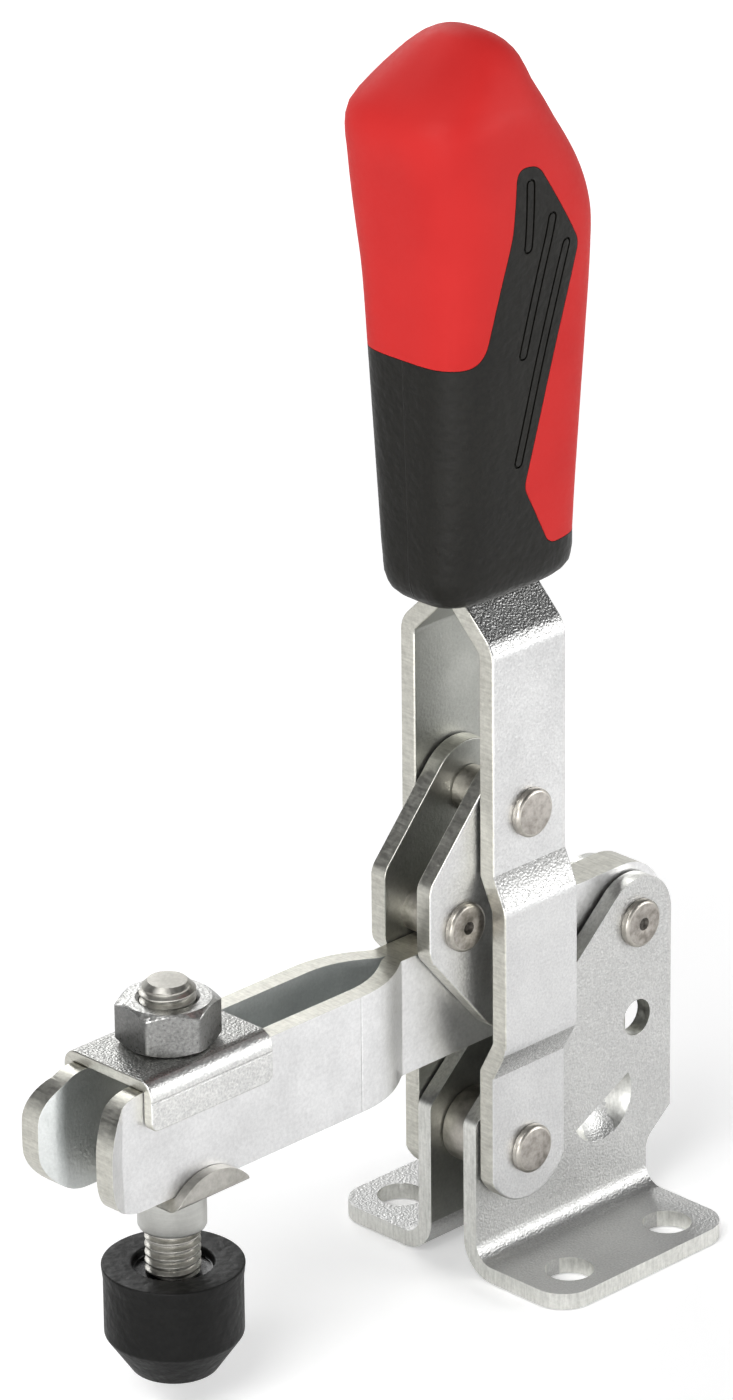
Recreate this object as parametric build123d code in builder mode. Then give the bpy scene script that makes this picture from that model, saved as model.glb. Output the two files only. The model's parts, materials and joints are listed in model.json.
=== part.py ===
"""Vertical-handle toggle clamp with an open slotted arm, a foot base and a pressure screw.

Millimetres, +Z up. The arm points along -X and the clamp is symmetric about Y = 0. The
origin lies on the base plane, in the middle of the four foot holes. The model is drawn
clamped.
"""

import os
from math import cos, radians, sin, tan

from build123d import *

os.makedirs("parts", exist_ok=True)

# Sheets and the gaps between neighbouring plates
base_sheet = 2.5
handle_sheet = 2.8
link_sheet = 2.8
arm_sheet = 2.8
clip_sheet = 1.7
saddle_sheet = 1.7
arm_to_link_gap = 0.3
arm_to_base_gap = 0.5
base_to_handle_gap = 0.35
link_to_handle_gap = 0.45
head_to_handle_gap = 1.6
slide_gap = 0.1
running_fit = 0.05

# Pivots of the linkage, clamped: the handle pivot, the hidden arm-to-link pivot and the
# handle-to-link pivot stand in one vertical line
pivot_line_x = -10.2
handle_pivot_height = 19.3
arm_pivot_reach = 26.1
arm_pivot_x = pivot_line_x + arm_pivot_reach
arm_pivot_height = 45.3
link_length = 27.1
link_top_height = arm_pivot_height + link_length
stop_pin_reach = 10.3
stop_pin_x = pivot_line_x - stop_pin_reach

# Riveted pins
pin_diameter = 6.0
stop_pin_diameter = 6.6
link_bush_diameter = 7.0
spacer_diameter = 11.3
head_diameter = 7.3
head_height = 1.2
hidden_head_height = 0.9
head_chamfer = 0.35
dimple_radius = 0.7
dimple_depth = 0.4

# Arm
arm_height = 18.0
arm_below_pivot = 9.8
arm_bottom = arm_pivot_height - arm_below_pivot
arm_top = arm_bottom + arm_height
arm_slot = 8.4
arm_reach = 81.2
arm_tip_corner = 5.5
arm_tip_x = pivot_line_x - arm_reach
pinch_reach = 19.7
pinch_end_x = pivot_line_x - pinch_reach
jog_angle = 34.0
jog_shoulder_radius = 18.0
flare_length = 3.4
flare_x = arm_tip_x + flare_length
flare_angle = 32.0
fold_radius = 1.0

# Base
base_front = -18.0
base_rear = 22.9
base_waist_x = 17.8
base_shoulder_height = 24.3
base_lobe_radius = 7.0
waist_low = 9.3
waist_high = 13.4
waist_radius = 3.0
shoulder_radius = 1.5
nose_radius = 2.0
flange_reach = 23.4
flange_corner = 5.0
base_bend = 3.0
mount_hole_diameter = 7.2
mount_spacing_x = 20.6
mount_edge_margin = 6.35
mount_spacing_y = 2 * (flange_reach - mount_edge_margin)
window_x = 15.7
window_height = 30.0
window_diameter = 5.6
lance_x = 8.4
lance_height = 18.9
lance_radius = 6.2
lance_depth = 2.9
lance_angle = 27.5

# Link plates
link_top_radius = 7.3
link_low_radius = 7.6
link_nose_reach = 16.9
link_nose_x = pivot_line_x - link_nose_reach
link_nose_radius = 3.0
link_nose_drop = 1.9
link_nose_length = 14.7
link_nose_low = arm_top - link_nose_drop
link_nose_high = link_nose_low + link_nose_length

# Handle plates
handle_width = 14.8
handle_end_radius = 8.1
jog_low_start = 33.3
jog_low_end = 38.2
jog_high_start = 58.9
jog_high_end = 63.9
neck_start = 97.9
tang_top = 150.0
handle_fold = 1.5

# Clip, lower saddle and sleeve
spindle_reach = 62.4
spindle_x = pivot_line_x - spindle_reach
clip_length = 23.3
clip_drop = 5.8
clip_corner = 2.4
clip_end_round = 1.4
saddle_half_length = 7.4
saddle_rise = 4.3
saddle_bend = 1.6
sleeve_diameter = 9.8
sleeve_length = 7.0

# Pressure screw, nut and rubber foot
thread_diameter = 8.0
screw_stick_out = 2.55
screw_chamfer = 1.1
nut_across_flats = 13.0
nut_height = 6.5
nut_turn = 22.5
nut_bevel = 0.6
nut_face_share = 0.97
foot_below_sleeve = 5.8
foot_height = 16.3
foot_rim_diameter = 20.4
foot_rim_height = 2.2
foot_body_diameter = 19.8
foot_tip_diameter = 12.2
foot_cone_height = 5.6
foot_recess_diameter = 11.6
foot_recess_depth = 1.3
foot_round = 0.8
plate_diameter = 13.0
plate_height = 3.0
plate_top_below_rim = 6.0

# Grip sections from bottom to top: height, front and rear from the pivot line, half
# thickness, corner radius
grip_sections = (
    (104.6, -9.6, 9.2, 3.9, 2.4),
    (106.0, -13.1, 12.5, 7.0, 4.2),
    (110.0, -14.7, 13.0, 8.1, 5.0),
    (118.0, -15.1, 12.9, 8.7, 5.4),
    (130.0, -15.4, 13.3, 9.5, 5.9),
    (142.0, -15.9, 13.8, 10.3, 6.4),
    (154.0, -16.3, 14.0, 11.4, 7.0),
    (164.0, -17.5, 12.7, 12.2, 7.6),
    (172.0, -18.8, 8.8, 12.1, 7.8),
    (177.0, -18.8, 5.7, 11.9, 7.6),
    (181.0, -15.7, 3.6, 10.4, 6.8),
    (184.0, -11.8, 2.3, 8.4, 5.6),
    (186.6, -8.2, 0.2, 5.8, 3.8),
    (188.9, -5.2, -3.7, 1.6, 0.7),
)
shell_wall = 2.2
shell_reach = 30.0
shell_outline = (
    (-shell_reach, 142.6),
    (-9.9, 142.6),
    (-6.0, 161.5),
    (-5.3, 170.6),
    (-1.6, 170.0),
    (7.4, 156.8),
    (-0.9, 121.8),
    (5.0, 111.4),
    (shell_reach, 111.4),
    (shell_reach, 200.0),
    (-shell_reach, 200.0),
)
shell_corner_radii = (0, 4.0, 12.0, 1.6, 2.2, 2.2, 2.2, 2.4, 0, 0, 0)
grip_slots = (
    ((-3.0, 158.6), (-2.8, 167.8)),
    ((-2.4, 142.4), (1.5, 162.0)),
    ((-2.3, 126.1), (4.7, 157.3)),
)
groove_depth = 0.5
groove_width = 1.7
rib_width = 1.1
groove_reach = 3.0

# Distances from the middle plane, worked out from the sheets and gaps
arm_inner = arm_slot / 2
arm_outer = arm_inner + arm_sheet
link_inner = arm_sheet + arm_to_link_gap
link_outer = link_inner + link_sheet
base_inner = arm_sheet + arm_to_base_gap
base_outer = base_inner + base_sheet
handle_low_inner = base_outer + base_to_handle_gap
handle_high_inner = link_outer + link_to_handle_gap
handle_mid_inner = link_outer + head_height + head_to_handle_gap
link_pin_split = link_outer + running_fit

handle_pivot = (pivot_line_x, handle_pivot_height)
arm_pivot = (arm_pivot_x, arm_pivot_height)
arm_link_pivot = (pivot_line_x, arm_pivot_height)
link_top_pivot = (pivot_line_x, link_top_height)
stop_pin_height = arm_top + stop_pin_diameter / 2 + slide_gap
stop_pin_centre = (stop_pin_x, stop_pin_height)


def save(piece, name):
    piece.part.label = name
    export_step(piece.part, f"parts/{name}.step")


def mirrored(piece):
    """The far-side twin of a near-side plate."""
    with BuildPart() as twin:
        mirror(piece.part, about=Plane.XZ)
    return twin


def rivet_head(reach, dimpled, height=head_height):
    """Half outline of a chamfered rivet head that starts at a distance from the middle."""
    radius = head_diameter / 2
    end = reach + height
    points = [(radius, reach), (radius, end - head_chamfer), (radius - head_chamfer, end)]
    if dimpled:
        points += [(dimple_radius, end), (0, end - dimple_depth)]
    else:
        points += [(0, end)]
    return points


def turned(pivot, outline):
    """A pin across the clamp: (radius, distance from the middle) turned about its pivot."""
    x, height = pivot
    with BuildPart() as piece:
        with BuildSketch(Plane.XY.offset(height)):
            with BuildLine():
                Polyline(*[(x + radius, distance) for radius, distance in outline], close=True)
            make_face()
        revolve(axis=Axis((x, 0, height), (0, 1, 0)))
        mirror(about=Plane.XZ)
    return piece


def cross_hole(pivot, diameter):
    """A hole straight across the clamp, through every wall of the part being built."""
    x, height = pivot
    with Locations(Location((x, 0, height), (90, 0, 0))):
        Hole(diameter / 2)


def half_bowl():
    """Half of a shallow bowl pressed inwards from the near base plate, one sheet thick."""
    outer_rim = lance_radius + base_sheet
    with BuildPart(mode=Mode.PRIVATE) as bowl:
        frame = Plane(
            origin=(lance_x, -base_outer, lance_height),
            x_dir=(cos(radians(lance_angle)), 0, sin(radians(lance_angle))),
            z_dir=(-sin(radians(lance_angle)), 0, cos(radians(lance_angle))),
        )
        with BuildSketch(frame):
            with BuildLine():
                Line((0, lance_depth), (0, lance_depth + base_sheet))
                ThreePointArc(
                    (0, lance_depth + base_sheet),
                    (lance_radius * 0.55, lance_depth * 0.72 + base_sheet),
                    (lance_radius, base_sheet),
                )
                Polyline(
                    (lance_radius, base_sheet),
                    (outer_rim, base_sheet),
                    (outer_rim, 0),
                    (lance_radius, 0),
                )
                ThreePointArc(
                    (lance_radius, 0),
                    (lance_radius * 0.55, lance_depth * 0.72),
                    (0, lance_depth),
                )
            make_face()
        revolve(axis=Axis((lance_x, 0, lance_height), (0, 1, 0)), revolution_arc=180)
    return bowl.part


# Near base plate: an upright wall turned out into a foot flange
with BuildPart() as base_bracket_near:
    with BuildSketch(Plane.YZ.offset(base_front)):
        with BuildLine():
            FilletPolyline(
                (-base_inner, arm_pivot_height + base_lobe_radius),
                (-base_inner, 0),
                (-flange_reach, 0),
                radius=base_bend + base_sheet,
            )
            offset(amount=base_sheet, side=Side.RIGHT)
        make_face()
    extrude(amount=base_rear - base_front)
    with BuildSketch(Plane.XZ):
        with BuildLine():
            Polyline(
                (base_front, 0),
                (base_front, base_shoulder_height),
                (base_rear, base_shoulder_height),
                (base_rear, 0),
                close=True,
            )
        with Locations(arm_pivot):
            Circle(base_lobe_radius)
        make_hull()
        with BuildLine():
            FilletPolyline(
                (base_waist_x, -1),
                (base_waist_x, waist_low),
                (base_rear, waist_high),
                (base_rear + 5, waist_high + 4),
                (base_rear + 5, -1),
                radius=(0, waist_radius, shoulder_radius, 0, 0),
                close=True,
            )
        make_face(mode=Mode.SUBTRACT)
    extrude(amount=flange_reach, mode=Mode.INTERSECT)
    with BuildSketch(Plane.XZ.offset(base_inner)):
        with Locations(Location((lance_x, lance_height), lance_angle)):
            Circle(lance_radius)
            with Locations((0, lance_radius)):
                Rectangle(2 * lance_radius, 2 * lance_radius, mode=Mode.SUBTRACT)
    extrude(amount=base_sheet, mode=Mode.SUBTRACT)
    add(half_bowl())
    flange_corners = base_bracket_near.edges().filter_by(Axis.Z).group_by(Axis.Y)[0]
    fillet(flange_corners, flange_corner)
    front_corner = base_bracket_near.edges().filter_by(Axis.Y)
    fillet(front_corner.sort_by_distance((base_front, 0, base_shoulder_height))[0], nose_radius)
    with Locations((0, -mount_spacing_y / 2)):
        with GridLocations(mount_spacing_x, 0, 2, 1):
            Hole(mount_hole_diameter / 2)
    cross_hole((window_x, window_height), window_diameter)
    cross_hole(handle_pivot, pin_diameter)
    cross_hole(arm_pivot, pin_diameter)
save(base_bracket_near, "base_bracket_near")

base_bracket_far = mirrored(base_bracket_near)
save(base_bracket_far, "base_bracket_far")

# Spacer between the base plates at the handle pivot
handle_pivot_spacer = turned(
    handle_pivot,
    [
        (pin_diameter / 2, 0),
        (spacer_diameter / 2, 0),
        (spacer_diameter / 2, base_inner - head_chamfer),
        (spacer_diameter / 2 - head_chamfer, base_inner),
        (pin_diameter / 2, base_inner),
    ],
)
save(handle_pivot_spacer, "handle_pivot_spacer")

# Riveted pins: handle to base, arm to base, arm to links, and the stop across the links
shank = pin_diameter / 2
handle_low_outer = handle_low_inner + handle_sheet
handle_high_outer = handle_high_inner + handle_sheet

handle_pivot_pin = turned(
    handle_pivot,
    [(0, 0), (shank, 0), (shank, handle_low_outer + running_fit)]
    + rivet_head(handle_low_outer + running_fit, dimpled=False),
)
save(handle_pivot_pin, "handle_pivot_pin")

arm_pivot_pin = turned(
    arm_pivot, [(0, 0), (shank, 0), (shank, base_outer)] + rivet_head(base_outer, dimpled=True)
)
save(arm_pivot_pin, "arm_pivot_pin")

arm_link_pin = turned(
    arm_link_pivot,
    [(0, 0), (shank, 0), (shank, link_outer)]
    + rivet_head(link_outer, dimpled=True, height=hidden_head_height),
)
save(arm_link_pin, "arm_link_pin")

stop_pin = turned(
    stop_pin_centre,
    [(0, 0), (stop_pin_diameter / 2, 0), (stop_pin_diameter / 2, link_inner), (shank, link_inner)]
    + [(shank, link_outer)]
    + rivet_head(link_outer, dimpled=True),
)
save(stop_pin, "stop_pin")

# The top pin of the links, and its outer ends in the handle plates
link_top_pin = turned(
    link_top_pivot,
    [(0, 0), (link_bush_diameter / 2, 0), (link_bush_diameter / 2, link_inner)]
    + [(shank, link_inner), (shank, link_outer), (0, link_outer)],
)
save(link_top_pin, "link_top_pin")

handle_link_pin = turned(
    link_top_pivot,
    [(0, link_pin_split), (shank, link_pin_split), (shank, handle_high_outer)]
    + rivet_head(handle_high_outer, dimpled=False),
)
save(handle_link_pin, "handle_link_pin")

# Arm plates: side by side at the rear, jogged apart into a slot and flared at the tip
jog_rise = arm_outer - arm_sheet
jog_run = jog_rise / tan(radians(jog_angle))
tip_run = arm_tip_x - flare_x
tip_rise = -tip_run * tan(radians(flare_angle))
arm_rear_radius = arm_top - arm_pivot_height

with BuildPart() as arm_plate_near:
    with BuildSketch(Plane.XY.offset(arm_bottom)):
        with BuildLine():
            FilletPolyline(
                (arm_pivot_x + arm_rear_radius, -arm_sheet),
                (pinch_end_x, -arm_sheet),
                (pinch_end_x - jog_run, -arm_outer),
                (flare_x, -arm_outer),
                (arm_tip_x, -arm_outer - tip_rise),
                radius=(fold_radius, jog_shoulder_radius, fold_radius),
            )
            offset(amount=arm_sheet, side=Side.RIGHT)
        make_face()
    extrude(amount=arm_height)
    with BuildSketch(Plane.XZ) as arm_side:
        with BuildLine():
            Polyline(
                (arm_tip_x, arm_bottom),
                (arm_tip_x, arm_top),
                (arm_pivot_x, arm_top),
                (arm_pivot_x, arm_pivot_height - arm_rear_radius),
                (arm_pivot_x - arm_rear_radius, arm_bottom),
                close=True,
            )
        make_face()
        fillet(arm_side.vertices().group_by(Axis.X)[0], arm_tip_corner)
        with Locations(arm_pivot):
            Circle(arm_rear_radius)
    extrude(amount=flange_reach, mode=Mode.INTERSECT)
    cross_hole(arm_pivot, pin_diameter + 2 * running_fit)
    cross_hole(arm_link_pivot, pin_diameter + 2 * running_fit)
save(arm_plate_near, "arm_plate_near")

arm_plate_far = mirrored(arm_plate_near)
save(arm_plate_far, "arm_plate_far")

# Link plates: flat, round about their two pivots, with a straight nose for the stop pin
with BuildPart() as link_plate_near:
    with BuildSketch(Plane.XZ.offset(link_inner)):
        with Locations(link_top_pivot):
            Circle(link_top_radius)
        with Locations(arm_link_pivot):
            Circle(link_low_radius)
        nose_x = link_nose_x + link_nose_radius
        with Locations((nose_x, link_nose_low + link_nose_radius)):
            Circle(link_nose_radius)
        with Locations((nose_x, link_nose_high - link_nose_radius)):
            Circle(link_nose_radius)
        make_hull()
    extrude(amount=link_sheet)
    for pivot in (link_top_pivot, arm_link_pivot, stop_pin_centre):
        cross_hole(pivot, pin_diameter)
save(link_plate_near, "link_plate_near")

link_plate_far = mirrored(link_plate_near)
save(link_plate_far, "link_plate_far")

# Handle plates: jogged out past the arm's rivet heads, then turned in to a tang
with BuildPart() as handle_plate_near:
    with BuildSketch(Plane.YZ.offset(pivot_line_x - handle_width / 2)):
        with BuildLine():
            FilletPolyline(
                (-handle_low_inner, handle_pivot_height - handle_end_radius),
                (-handle_low_inner, jog_low_start),
                (-handle_mid_inner, jog_low_end),
                (-handle_mid_inner, jog_high_start),
                (-handle_high_inner, jog_high_end),
                (-handle_high_inner, neck_start),
                (0, neck_start + handle_high_inner),
                (0, tang_top),
                radius=handle_fold,
            )
            offset(amount=handle_sheet, side=Side.LEFT)
        make_face()
    extrude(amount=handle_width)
    with BuildSketch(Plane.XZ):
        with Locations(handle_pivot):
            Circle(handle_end_radius)
            Rectangle(handle_width, tang_top, align=(Align.CENTER, Align.MIN))
            Rectangle(handle_width, 2 * tang_top, mode=Mode.INTERSECT)
    extrude(amount=flange_reach, mode=Mode.INTERSECT)
    cross_hole(handle_pivot, pin_diameter + 2 * running_fit)
    cross_hole(link_top_pivot, pin_diameter)
save(handle_plate_near, "handle_plate_near")

handle_plate_far = mirrored(handle_plate_near)
save(handle_plate_far, "handle_plate_far")


def grip_body(inset, sections):
    """The grip's form through some of its sections, drawn in by an inset."""
    base = grip_sections[0][0]
    top = grip_sections[-1][0]
    with BuildPart(mode=Mode.PRIVATE) as body:
        for height, front, rear, half, corner in sections:
            level = height - inset * (height - base) / (top - base)
            with BuildSketch(Plane.XY.offset(level)):
                with Locations((pivot_line_x + (front + rear) / 2, 0)):
                    RectangleRounded(
                        rear - front - 2 * inset,
                        2 * (half - inset),
                        max(corner - inset, corner * 0.4),
                    )
        loft()
    return body.part


# Grip: a black core that holds the tangs, and a red shell over its upper part and rear
grip_outer = grip_body(0, grip_sections)
grip_inner = grip_body(shell_wall, grip_sections[2:-2])
pivot_plane = Plane(origin=(pivot_line_x, 0, 0), x_dir=(1, 0, 0), z_dir=(0, -1, 0))
with BuildPart() as shell_region:
    with BuildSketch(pivot_plane):
        with BuildLine():
            FilletPolyline(*shell_outline, radius=shell_corner_radii, close=True)
        make_face()
    extrude(amount=shell_reach, both=True)

with BuildPart() as grip_shell:
    add(grip_outer)
    add(shell_region.part, mode=Mode.INTERSECT)
    add(grip_inner, mode=Mode.SUBTRACT)
save(grip_shell, "grip_shell")


def grip_half(height):
    """Half thickness of the grip at a height, from its sections."""
    for (low, *_, low_half, _), (high, *_, high_half, _) in zip(grip_sections, grip_sections[1:]):
        if low <= height <= high:
            return low_half + (high_half - low_half) * (height - low) / (high - low)


def groove_plane(start, end, side):
    """A plane a groove's depth under the grip's side, with its x along the groove."""
    low, high = (
        Vector(pivot_line_x + x, side * (grip_half(height) - groove_depth), height)
        for x, height in (start, end)
    )
    along = high - low
    outward = Vector(0, side, 0).cross(along).cross(along) * -1
    return Plane(origin=low, x_dir=along, z_dir=outward), along.length


with BuildPart() as grip_core:
    add(grip_outer)
    add(shell_region.part, mode=Mode.SUBTRACT)
    add(grip_inner)
    for plate in (handle_plate_near, handle_plate_far):
        add(plate.part, mode=Mode.SUBTRACT)
    for side in (-1, 1):
        for start, end in grip_slots:
            floor, run = groove_plane(start, end, side)
            with BuildSketch(floor):
                with Locations((run / 2, 0)):
                    SlotCenterToCenter(run, groove_width)
                    SlotCenterToCenter(run, rib_width, mode=Mode.SUBTRACT)
            extrude(amount=groove_reach, mode=Mode.SUBTRACT)
save(grip_core, "grip_core")

# Clip folded over the arm, under the lock nut
clip_inner = arm_outer + slide_gap
clip_outer = clip_inner + clip_sheet
clip_top = arm_top + slide_gap + clip_sheet
with BuildPart() as saddle_clip:
    with BuildSketch(Plane.YZ.offset(spindle_x)):
        with Locations((0, clip_top)):
            Rectangle(2 * clip_outer, clip_sheet + clip_drop, align=(Align.CENTER, Align.MAX))
        with Locations((0, clip_top - clip_sheet)):
            Rectangle(2 * clip_inner, clip_drop, align=(Align.CENTER, Align.MAX), mode=Mode.SUBTRACT)
    extrude(amount=clip_length / 2, both=True)
    fillet(saddle_clip.edges().filter_by(Axis.X).group_by(Axis.Z)[-1], clip_corner)
    low_ends = saddle_clip.edges().filter_by(Axis.Y).group_by(Axis.Z)[0]
    fillet(low_ends, clip_end_round)
    with Locations((spindle_x, 0, clip_top)):
        Hole(thread_diameter / 2 + slide_gap)
save(saddle_clip, "saddle_clip")

# Saddle washer under the arm: a flat middle whose two sides are bent up as round segments
saddle_inner = arm_outer + slide_gap
saddle_outer = saddle_inner + saddle_sheet
saddle_top = arm_bottom - slide_gap
saddle_bottom = saddle_top - saddle_sheet
segment_radius = (saddle_half_length**2 + saddle_rise**2) / (2 * saddle_rise)
with BuildPart() as lower_saddle:
    with BuildSketch(Plane.XZ):
        with Locations((spindle_x, saddle_bottom + saddle_rise - segment_radius)):
            Circle(segment_radius)
        with Locations((spindle_x, saddle_bottom)):
            Rectangle(
                2 * saddle_half_length,
                saddle_rise,
                align=(Align.CENTER, Align.MIN),
                mode=Mode.INTERSECT,
            )
    extrude(amount=saddle_outer, both=True)
    with Locations((spindle_x, 0, saddle_top)):
        Box(
            2 * saddle_half_length,
            2 * saddle_inner,
            saddle_rise,
            align=(Align.CENTER, Align.CENTER, Align.MIN),
            mode=Mode.SUBTRACT,
        )
    bends = lower_saddle.edges().filter_by(Axis.X).group_by(Axis.Z)[0]
    fillet(bends, saddle_bend)
    with Locations((spindle_x, 0, saddle_top)):
        Hole(thread_diameter / 2 + slide_gap)
save(lower_saddle, "lower_saddle")

# Threaded sleeve fixed under the saddle washer
with BuildPart() as threaded_sleeve:
    with BuildSketch(Plane.XY.offset(saddle_bottom - sleeve_length)):
        with Locations((spindle_x, 0)):
            Circle(sleeve_diameter / 2)
            Circle(thread_diameter / 2 + running_fit, mode=Mode.SUBTRACT)
    extrude(amount=sleeve_length)
    low_rims = threaded_sleeve.edges().filter_by(GeomType.CIRCLE).group_by(Axis.Z)[0]
    chamfer(low_rims.sort_by(SortBy.RADIUS)[-1], head_chamfer)
save(threaded_sleeve, "threaded_sleeve")

# Pressure screw with a round plate held inside the rubber foot
foot_rim = saddle_bottom - sleeve_length - foot_below_sleeve
foot_bottom = foot_rim - foot_height
screw_plate_top = foot_rim - plate_top_below_rim
nut_bottom = clip_top + running_fit
screw_top = nut_bottom + nut_height + screw_stick_out
with BuildPart() as clamping_screw:
    with BuildSketch(Plane.XY.offset(screw_plate_top - plate_height)):
        with Locations((spindle_x, 0)):
            Circle(plate_diameter / 2)
    extrude(amount=plate_height)
    with BuildSketch(Plane.XY.offset(screw_plate_top)):
        with Locations((spindle_x, 0)):
            Circle(thread_diameter / 2)
    extrude(amount=screw_top - screw_plate_top)
    chamfer(clamping_screw.faces().sort_by(Axis.Z)[-1].edges(), screw_chamfer)
save(clamping_screw, "clamping_screw")

# Rubber foot: a lip, a straight body and a cone, moulded round the screw's plate
foot_middle_radius = foot_body_diameter / 2
foot_tip_radius = foot_tip_diameter / 2
foot_rim_radius = foot_rim_diameter / 2
with BuildPart() as rubber_foot:
    with BuildSketch(Plane.XZ):
        with BuildLine():
            FilletPolyline(
                (spindle_x, foot_bottom),
                (spindle_x + foot_tip_radius, foot_bottom),
                (spindle_x + foot_middle_radius, foot_bottom + foot_cone_height),
                (spindle_x + foot_middle_radius, foot_rim - foot_rim_height),
                (spindle_x + foot_rim_radius, foot_rim),
                (spindle_x + foot_recess_diameter / 2, foot_rim),
                (spindle_x + foot_recess_diameter / 2, foot_rim - foot_recess_depth),
                (spindle_x, foot_rim - foot_recess_depth),
                radius=(foot_round, foot_round, 0, foot_round / 2, foot_round / 2, 0),
                close=False,
            )
            Line((spindle_x, foot_rim - foot_recess_depth), (spindle_x, foot_bottom))
        make_face()
    revolve(axis=Axis((spindle_x, 0, 0), (0, 0, 1)))
    add(clamping_screw.part, mode=Mode.SUBTRACT)
save(rubber_foot, "rubber_foot")

# Lock nut with its corners chamfered at both ends
with BuildPart() as lock_nut:
    with BuildSketch(Plane.XY.offset(nut_bottom)):
        with Locations(Location((spindle_x, 0), nut_turn)):
            RegularPolygon(nut_across_flats / 2, 6, major_radius=False)
    extrude(amount=nut_height)
    nut_corner_radius = nut_across_flats / 2 / cos(radians(30))
    with BuildSketch(Plane.XZ):
        with BuildLine():
            Polyline(
                (spindle_x, nut_bottom),
                (spindle_x + nut_across_flats / 2 * nut_face_share, nut_bottom),
                (spindle_x + nut_corner_radius, nut_bottom + nut_bevel),
                (spindle_x + nut_corner_radius, nut_bottom + nut_height - nut_bevel),
                (spindle_x + nut_across_flats / 2 * nut_face_share, nut_bottom + nut_height),
                (spindle_x, nut_bottom + nut_height),
                close=True,
            )
        make_face()
    revolve(axis=Axis((spindle_x, 0, 0), (0, 0, 1)), mode=Mode.INTERSECT)
    with Locations((spindle_x, 0, nut_bottom + nut_height)):
        Hole(thread_diameter / 2 + running_fit)
save(lock_nut, "lock_nut")
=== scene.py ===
"""Looks for the toggle clamp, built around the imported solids.

Metres, +Z up, the arm along -X. Sheet plates, pins, screw, nut, foot and grip are meshes that
stand for their CAD nodes; every surface has a procedural material. Tables and outlines are in
millimetres. In at() and in the grip's tables, x is measured from the handle's pivot line.
"""

import json
from math import cos, pi, radians, sin, sqrt, tan

import bmesh
import bpy
from mathutils import Matrix, Vector


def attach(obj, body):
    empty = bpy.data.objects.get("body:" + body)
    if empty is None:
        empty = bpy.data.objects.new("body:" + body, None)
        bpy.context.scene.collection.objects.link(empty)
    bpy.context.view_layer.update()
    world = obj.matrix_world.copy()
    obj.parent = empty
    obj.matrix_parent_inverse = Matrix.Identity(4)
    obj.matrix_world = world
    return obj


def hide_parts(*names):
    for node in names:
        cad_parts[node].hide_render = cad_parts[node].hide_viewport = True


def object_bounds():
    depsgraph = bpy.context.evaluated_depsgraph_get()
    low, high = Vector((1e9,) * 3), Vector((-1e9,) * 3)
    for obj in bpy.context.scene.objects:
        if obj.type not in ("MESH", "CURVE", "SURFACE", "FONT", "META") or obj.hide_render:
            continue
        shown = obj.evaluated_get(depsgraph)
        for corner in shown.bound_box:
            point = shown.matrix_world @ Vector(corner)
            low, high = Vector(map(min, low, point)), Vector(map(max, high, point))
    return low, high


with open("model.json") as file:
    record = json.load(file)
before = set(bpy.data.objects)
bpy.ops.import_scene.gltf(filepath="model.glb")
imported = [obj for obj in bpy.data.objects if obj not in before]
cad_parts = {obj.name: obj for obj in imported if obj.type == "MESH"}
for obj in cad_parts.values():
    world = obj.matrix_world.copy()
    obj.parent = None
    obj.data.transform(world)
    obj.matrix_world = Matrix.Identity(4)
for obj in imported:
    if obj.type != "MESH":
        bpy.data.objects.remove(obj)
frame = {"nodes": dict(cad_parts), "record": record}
cad_bounds = [list(corner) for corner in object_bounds()]

MM = 0.001
PIVOT_X = -10.2
NODES = frame["nodes"]
NODE_BODY = {node: body for body, nodes in frame["record"]["behaviour"]["bodies"].items() for node in nodes}


def at(x, z):
    """A spot in the clamp's middle plane; x is measured from the handle's pivot line."""
    return ((x + PIVOT_X) * MM, 0, z * MM)


# ---------------------------------------------------------------- camera
FOCAL_PX, PHOTO_HEIGHT_PX, SENSOR_MM = 8030.63, 1400.0, 36.0
CAMERA_PLACE = (-0.74596 + PIVOT_X * MM, -0.72878, 0.53864)
YAW, PITCH_DOWN, ROLL = 44.76, 23.42, -0.564


def look_along(yaw, pitch, roll):
    """Camera matrix columns for a view direction, in degrees."""
    y, p, r = radians(yaw), radians(pitch), radians(roll)
    forward = Vector((sin(y) * cos(p), cos(y) * cos(p), -sin(p)))
    right = Vector((cos(y), -sin(y), 0))
    up = right.cross(forward)
    right_rolled = cos(r) * right + sin(r) * up
    up_rolled = -sin(r) * right + cos(r) * up
    return right_rolled, up_rolled, -forward


camera_data = bpy.data.cameras.new("camera")
camera_data.sensor_fit = "AUTO"
camera_data.sensor_width = SENSOR_MM
camera_data.lens = FOCAL_PX * SENSOR_MM / PHOTO_HEIGHT_PX
camera_data.clip_start = 0.05
camera_data.clip_end = 30.0
camera = bpy.data.objects.new("camera", camera_data)
bpy.context.collection.objects.link(camera)
turned = Matrix(look_along(YAW, PITCH_DOWN, ROLL)).transposed().to_4x4()
camera.matrix_world = Matrix.Translation(CAMERA_PLACE) @ turned
bpy.context.scene.camera = camera
bpy.context.scene.view_settings.view_transform = "Standard"


# ---------------------------------------------------------------- lamps
LAMP_TARGET = at(-20, 90)


def lamp(name, place, size, power):
    """A soft rectangular lamp that faces the clamp."""
    data = bpy.data.lights.new(name, "AREA")
    data.shape = "RECTANGLE"
    data.size, data.size_y = size
    data.energy = power
    lamp_object = bpy.data.objects.new(name, data)
    bpy.context.collection.objects.link(lamp_object)
    direction = Vector(LAMP_TARGET) - Vector(place)
    lamp_object.rotation_mode = "QUATERNION"
    lamp_object.rotation_quaternion = direction.to_track_quat("-Z", "Y")
    lamp_object.location = place


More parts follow.
